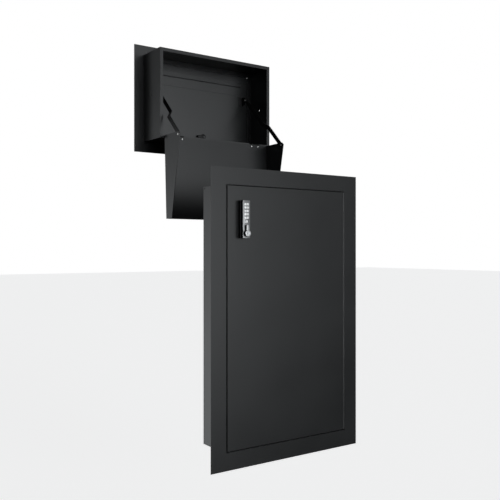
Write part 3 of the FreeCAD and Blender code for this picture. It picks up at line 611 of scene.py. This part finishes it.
def teardrop(axis, radius, neck_half, neck_end, steps=28):
    """An outline for slab: a disc that runs up into a straight round-ended neck."""
    def outline(inset):
        ball, half = radius - inset, neck_half - inset
        leave = math.asin(half / ball)
        start, sweep = math.pi / 2 + leave, 2 * math.pi - 2 * leave
        points = [(axis[0] + ball * math.cos(start + sweep * n / steps),
                   axis[1] + ball * math.sin(start + sweep * n / steps)) for n in range(steps + 1)]
        tip = axis[1] + neck_end - inset - half
        points += [(axis[0] + half * math.cos(math.pi * n / 10), tip + half * math.sin(math.pi * n / 10))
                   for n in range(11)]
        return points
    return outline


def make_knob():
    """The turning knob: a black teardrop with a satin neck plate and a round dished cap."""
    low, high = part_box("lock_knob")
    place = JOINT_PLACE["lock_knob_turn"]
    axis = (place[0], place[2])
    radius, neck_end = (high.x - low.x) / 2, high.z - axis[1]
    step = low.y + KNOB_CAP_DEPTH
    mesh = bmesh.new()
    slab(mesh, teardrop(axis, radius, KNOB_NECK_HALF, neck_end), high.y, step, 0.4 * MM)
    black = len(mesh.faces)
    slab(mesh, teardrop(axis, radius - KNOB_BORDER, KNOB_NECK_HALF - KNOB_BORDER, neck_end - KNOB_BORDER),
         step + 0.2 * MM, step - 0.4 * MM, 0.3 * MM)
    cap = radius - 0.1 * MM
    turned(mesh, [(0, 0), (0, cap), (2.9 * MM, cap), (3.3 * MM, cap - 0.2 * MM),
                  (KNOB_CAP_DEPTH, cap - 0.7 * MM), (3.4 * MM, cap * 0.6), (3.2 * MM, cap * 0.3),
                  (3.15 * MM, 0)], (axis[0], step, axis[1]), (0, -1, 0), 48)
    paint(mesh, black)
    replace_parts(add_piece("lock_knob_turned", mesh, "lock_knob", ["lock_black", "knob_silver"]),
                "lock_knob")


def make_lock_back():
    """The screws and the hexagonal nut on the back of the access door."""
    low, high, middle, half = spread("lock_mounting_screws")
    radius, shank = half[0], 1.9 * MM
    mesh = bmesh.new()
    for height in (low.z + radius, high.z - radius):
        screw = [(0, 0), (0, shank), (10.0 * MM, shank), (10.0 * MM, radius), (10.8 * MM, radius),
                 (11.6 * MM, radius * 0.72), (12.0 * MM, radius * 0.5), (12.0 * MM, 1.2 * MM),
                 (11.0 * MM, 0)]
        turned(mesh, screw, (middle.x, low.y, height), (0, 1, 0), 24)
    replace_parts(add_piece("lock_screws_domed", mesh, "lock_mounting_screws", ["bright_steel"]),
                "lock_mounting_screws")

    low, high, middle, half = spread("lock_cam_nut")
    radius, tall, bore = half[0], high.y - low.y, 3.02 * MM
    mesh = bmesh.new()
    turned(mesh, [(0, bore), (0, radius - 0.5 * MM), (0.4 * MM, radius), (tall - 0.4 * MM, radius),
                  (tall, radius - 0.5 * MM), (tall, bore), (0, bore)],
           (middle.x, low.y, middle.z), (0, 1, 0), 6)
    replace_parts(add_piece("lock_cam_hexagon_nut", mesh, "lock_cam_nut", ["bright_steel"], 25),
                "lock_cam_nut")


# ---------------------------------------------------------------- rivets, handle and cylinder lock

def islands(node):
    """Middle and half size of each separate solid of a node."""
    mesh = bmesh.new()
    mesh.from_mesh(NODES[node].data)
    bmesh.ops.remove_doubles(mesh, verts=mesh.verts, dist=WELD)
    waiting, found = set(mesh.verts), []
    while waiting:
        solid, to_visit = set(), [next(iter(waiting))]
        while to_visit:
            vert = to_visit.pop()
            if vert in solid:
                continue
            solid.add(vert)
            to_visit += [edge.other_vert(vert) for edge in vert.link_edges]
        waiting -= solid
        low = Vector([min(vert.co[n] for vert in solid) for n in range(3)])
        high = Vector([max(vert.co[n] for vert in solid) for n in range(3)])
        found.append(((low + high) / 2, (high - low) / 2))
    mesh.free()
    return sorted(found, key=lambda item: tuple(item[0]))


def make_rivets():
    """Domed heads for the rivets of the tray's hinges, the brackets and the link arms."""
    towards_room = (0, -math.cos(TRAY_LEAN), -math.sin(TRAY_LEAN))
    mesh = bmesh.new()
    for middle, half in islands("tray_hinge_rivets"):
        face = middle + Vector((0, half.y * 0.4, 0))
        turned(mesh, dome(half.x, 1.9 * MM, 0.4 * MM), face, towards_room, 24)
    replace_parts(add_piece("tray_hinge_rivet_heads", mesh, "tray_hinge_rivets", ["bright_steel"]),
                "tray_hinge_rivets")

    mesh = bmesh.new()
    for middle, half in islands("bracket_rivets"):
        side = math.copysign(1, middle.x)
        face = middle + Vector((side * half.x, 0, 0))
        turned(mesh, dome(half.y, 2.0 * half.x, 0), face, (-side, 0, 0), 24)
    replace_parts(add_piece("bracket_rivet_heads", mesh, "bracket_rivets", ["bright_steel"]),
                "bracket_rivets")

    outer_head, inner_head, shank = 3.5 * MM, 1.5 * MM, 3.0 * MM
    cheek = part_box("tray_pivot_rivets")[1].x - outer_head
    mesh = bmesh.new()
    for middle, half in islands("tray_pivot_rivets"):
        side = math.copysign(1, middle.x)
        outer = Vector((side * cheek, middle.y, middle.z))
        inner = Vector((middle.x - side * (half.x - inner_head), middle.y, middle.z))
        length = abs(outer.x - inner.x)
        turned(mesh, dome(half.y, outer_head, 0), outer, (side, 0, 0), 24)
        turned(mesh, dome(half.y, inner_head, 0.1 * MM), inner, (-side, 0, 0), 24)
        turned(mesh, [(0, 0), (0, shank), (length, shank), (length, 0)], inner, (side, 0, 0), 24)
    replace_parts(add_piece("tray_pivot_rivet_heads", mesh, "tray_pivot_rivets", ["bright_steel"]),
                "tray_pivot_rivets")


def make_handle():
    """A bent bar handle on two flanged feet, outside the parcel door."""
    low, high, middle, half = spread("drop_door_handle")
    bar, bend, foot = 6.0 * MM, 16.0 * MM, 10.0 * MM
    depth = high.y - bar - low.y
    reach = half[0] - foot
    path = [Vector((-reach, 0, 0)), Vector((-reach, depth - bend, 0))]
    for n in range(1, 7):
        turn = math.pi / 2 * n / 6
        path.append(Vector((-reach + bend * (1 - math.cos(turn)), depth - bend + bend * math.sin(turn), 0)))
    path += [Vector((-point.x, point.y, 0)) for point in reversed(path)]

    mesh = bmesh.new()
    rings, steps, up = [], 24, Vector((0, 0, 1))
    start = Vector((middle.x, low.y, middle.z))
    for n, point in enumerate(path):
        ahead = (path[min(n + 1, len(path) - 1)] - path[max(n - 1, 0)]).normalized()
        side = ahead.cross(up)
        turns = [2 * math.pi * k / steps for k in range(steps)]
        rings.append([mesh.verts.new(start + point + bar * (math.cos(turn) * side + math.sin(turn) * up))
                      for turn in turns])
    for first, second in zip(rings, rings[1:]):
        for k in range(steps):
            mesh.faces.new((first[k], first[(k + 1) % steps], second[(k + 1) % steps], second[k]))
    mesh.faces.new(rings[0])
    mesh.faces.new(rings[-1])
    for side in (-1, 1):
        turned(mesh, [(0, 0), (0, foot), (1.6 * MM, foot), (2.6 * MM, foot - 1.0 * MM),
                      (3.2 * MM, 6.4 * MM), (3.2 * MM, 0)],
               (middle.x + side * reach, low.y, middle.z), (0, 1, 0), 32)
    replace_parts(add_piece("drop_door_bar_handle", mesh, "drop_door_handle", ["black_hardware"]),
                "drop_door_handle")


def make_cylinder_lock():
    """The key lock: a bright turned face with a plug and a keyway; a black barrel and collar behind."""
    low, high, middle = spread("drop_lock_cylinder")[:3]
    skin = low.y + 10.0 * MM
    barrel, collar, bezel, plug = 9.5 * MM, 13.0 * MM, 12.0 * MM, 7.0 * MM
    back, face = low.y - skin, high.y - skin
    start = (middle.x, skin, middle.z)
    mesh = bmesh.new()
    turned(mesh, [(back, 0), (back, barrel), (back + 4 * MM, barrel), (back + 4.3 * MM, collar - 0.4 * MM),
                  (back + 4.7 * MM, collar), (back + 7.6 * MM, collar), (back + 8 * MM, collar - 0.4 * MM),
                  (back + 8 * MM, barrel), (0, barrel), (0, 0)], start, (0, 1, 0), 48)
    bright = len(mesh.faces)
    turned(mesh, [(0, 0), (0, bezel), (face - 1.2 * MM, bezel), (face - 0.3 * MM, bezel - 1.0 * MM),
                  (face, bezel - 2.2 * MM), (face, plug + 0.4 * MM), (face - 0.8 * MM, plug + 0.2 * MM),
                  (face - 0.8 * MM, plug), (face - 0.2 * MM, plug - 0.2 * MM), (face - 0.2 * MM, 0)],
           start, (0, 1, 0), 48)
    keyway = len(mesh.faces)
    shape = Matrix.Diagonal((8.4 * MM, 0.1 * MM, 1.6 * MM, 1))
    bmesh.ops.create_cube(mesh, size=1.0,
                          matrix=Matrix.Translation((middle.x, high.y - 0.2 * MM, middle.z)) @ shape)
    paint(mesh, 0, bright)
    paint(mesh, keyway)
    finishes = ["bright_steel", "black_hardware"]
    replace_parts(add_piece("drop_lock_turned_face", mesh, "drop_lock_cylinder", finishes),
                "drop_lock_cylinder")


def make_latch():
    """The key lock's flat latch and the plain screw that holds it."""
    low, high, middle = spread("drop_lock_cam")[:3]
    hub, arm, bolt = 8.0 * MM, 6.0 * MM, 5.0 * MM
    axis = (high.x - hub, middle.z)
    latch_front = high.y - 2.5 * MM

    def outline(inset, steps=24):
        disc, reach, tail = hub - inset, arm - inset, low.x + inset
        leave = math.asin(reach / disc)
        start, sweep = leave - math.pi, 2 * math.pi - 2 * leave
        points = [(tail, axis[1] + reach), (tail, axis[1] - reach)]
        for n in range(steps + 1):
            turn = start + sweep * n / steps
            points.append((axis[0] + disc * math.cos(turn), axis[1] + disc * math.sin(turn)))
        return points
    mesh = bmesh.new()
    slab(mesh, outline, high.y, latch_front, 0.4 * MM)
    black = len(mesh.faces)
    rise = latch_front - low.y
    turned(mesh, [(-0.5 * MM, 0), (-0.5 * MM, bolt - 0.3 * MM), (0, bolt), (rise - 0.8 * MM, bolt),
                  (rise - 0.2 * MM, bolt - 0.7 * MM), (rise, bolt - 1.6 * MM), (rise, 0)],
           (axis[0], latch_front, axis[1]), (0, -1, 0), 24)
    paint(mesh, black)
    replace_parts(add_piece("drop_lock_latch", mesh, "drop_lock_cam", ["black_hardware", "dull_steel"]),
                "drop_lock_cam")


def make_seal():
    """A flat rubber seal under the parcel door's rim, down both sides and along the bottom."""
    low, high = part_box("drop_door_panel")
    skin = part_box("drop_flange")[1].y
    inner_x, outer_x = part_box("drop_hinge_pin")[1].x + 0.1 * MM, high.x - 0.2 * MM
    outer_z = low.z + 0.2 * MM
    inner_z = outer_z + outer_x - inner_x
    top = high.z - 1.0 * MM

    def outline(inset):
        outside, inside = outer_x - inset, inner_x + inset
        right = [(outside, outer_z + inset), (outside, top - inset), (inside, top - inset),
                 (inside, inner_z - inset)]
        return right + [(-x, z) for x, z in reversed(right)]
    mesh = bmesh.new()
    slab(mesh, outline, skin + 0.38 * MM, skin + 0.02 * MM, 0.1 * MM, 2)
    piece = add_piece("drop_door_seal", mesh, "drop_door_panel", ["black_rubber"])


make_camera()
make_world()
make_floor()
for node, item in NODES.items():
    item.data.materials.clear()
    item.data.materials.append(MATERIALS[SLOT_OF[node]])
for node, radius in SHEET_EDGES.items():
    soften(node, radius * MM)
make_lock_shells()
make_face_plate()
make_keys()
make_knob()
make_lock_back()
make_rivets()
make_handle()
make_cylinder_lock()
make_latch()
make_seal()
